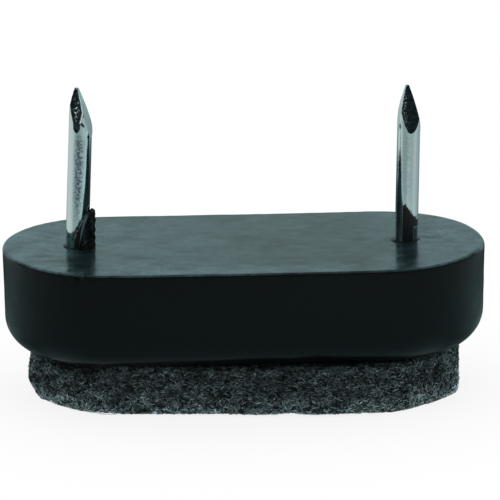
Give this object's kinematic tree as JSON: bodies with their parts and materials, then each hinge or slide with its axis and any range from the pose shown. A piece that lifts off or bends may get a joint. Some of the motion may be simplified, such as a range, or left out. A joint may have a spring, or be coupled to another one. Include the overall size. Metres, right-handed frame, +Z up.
{
  "type": "felt furniture glide",
  "caption": "Slot-shaped nail-on furniture glide: moulded plastic block on a thick felt pad, with upright wire nails for a wooden leg.",
  "frame": {"origin": "centre of the felt pad's underside, where the glide meets the floor", "axes": "+X along the glide, from the nail with the burr to the other nail; +Z up along the nails, towards the leg"},
  "size_m": [0.042, 0.019, 0.0277],
  "materials": {
    "black_plastic": "moulded, satin",
    "grey_felt": "pressed grey felt",
    "nail_steel": "bright drawn wire"
  },
  "bodies": {
    "root": {"block": "black_plastic", "felt_pad": "grey_felt", "left_nail": "nail_steel", "right_nail": "nail_steel"}
  },
  "joints": []
}
